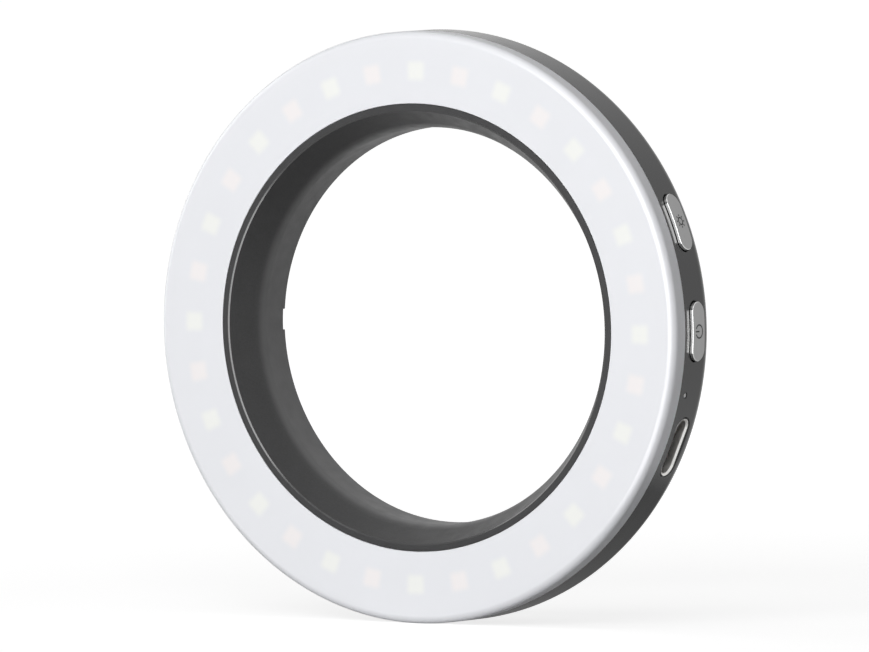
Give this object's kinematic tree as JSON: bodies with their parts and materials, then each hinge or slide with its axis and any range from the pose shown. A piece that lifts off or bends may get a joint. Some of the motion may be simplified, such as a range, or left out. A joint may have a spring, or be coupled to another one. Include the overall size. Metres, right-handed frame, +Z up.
{
  "type": "led ring light",
  "caption": "Flat ring light with an opal diffuser, a dark funnel-shaped central opening, side push buttons and a USB-C inlet.",
  "frame": {"origin": "on the ring's axis at the rear rim of the lens bore", "axes": "+Y along the bore to the rear, where the lens barrel leaves; the light shines towards -Y; +Z up, +X towards the power button"},
  "size_m": [0.0855, 0.0116, 0.085],
  "materials": {
    "opal_diffuser": "opal, satin",
    "sleeve_plastic": "fine spark texture",
    "housing_plastic": "semi-gloss",
    "cover_plastic": "fine texture",
    "button_metal": "grey, satin",
    "symbol_ink": "printed",
    "clear_plastic": "frosted",
    "plated_steel": "tin plated",
    "black_screw": "black oxide",
    "zinc_screw": "zinc plated",
    "insulator_plastic": "moulded",
    "contact_gold": "gold plated",
    "led_board_white": "white solder mask",
    "led_package": "white moulding",
    "cool_phosphor": "pale phosphor",
    "warm_phosphor": "amber phosphor",
    "circuit_board": "green solder mask",
    "switch_black": "moulded",
    "plunger_white": "moulded",
    "chip_black": "moulded",
    "ferrite": "pressed powder",
    "ceramic_tan": "ceramic",
    "pouch_foil": "pouch foil",
    "black_foam": "foam",
    "nickel_tab": "nickel strip",
    "red_wire": "insulation",
    "black_wire": "insulation"
  },
  "bodies": {
    "light_body": {"front_diffuser": "opal_diffuser", "inner_sleeve": "sleeve_plastic", "outer_housing": "housing_plastic", "back_cover": "cover_plastic", "indicator_light_pipe": "clear_plastic", "usb_shell": "plated_steel", "back_cover_screws": "black_screw", "control_board_screws": "zinc_screw", "usb_insulator": "insulator_plastic", "link_header_bar": "insulator_plastic", "usb_contacts": "contact_gold", "link_header_pins": "contact_gold", "led_board": "led_board_white", "cool_led_packages": "led_package", "warm_led_packages": "led_package", "indicator_led": "led_package", "cool_led_phosphors": "cool_phosphor", "warm_led_phosphors": "warm_phosphor", "control_board": "circuit_board", "battery_protection_boards": "circuit_board", "power_switch_body": "switch_black", "brightness_switch_body": "switch_black", "battery_sockets": "plunger_white", "charge_chip": "chip_black", "controller_chip": "chip_black", "led_driver_chip": "chip_black", "board_resistors": "chip_black", "led_board_resistors": "chip_black", "power_inductor": "ferrite", "board_capacitors": "ceramic_tan", "upper_battery_cell": "pouch_foil", "lower_battery_cell": "pouch_foil", "battery_foam_pads": "black_foam", "battery_tabs": "nickel_tab", "red_battery_leads": "red_wire", "black_battery_leads": "black_wire"},
    "power_push": {"power_button": "button_metal", "power_symbol": "symbol_ink", "power_switch_plunger": "plunger_white"},
    "brightness_push": {"brightness_button": "button_metal", "brightness_symbol": "symbol_ink", "brightness_switch_plunger": "plunger_white"}
  },
  "joints": [
    {"name": "power_button_press", "type": "slide", "parent": "light_body", "child": "power_push", "axis": [-1, 0, -0.007], "range_m": [0, 0.0003], "stiffness_N_per_m": 2000, "springref_m": -0.0002},
    {"name": "brightness_button_press", "type": "slide", "parent": "light_body", "child": "brightness_push", "axis": [-0.9285, 0, -0.3714], "range_m": [0, 0.0003], "stiffness_N_per_m": 2000, "springref_m": -0.0002}
  ]
}
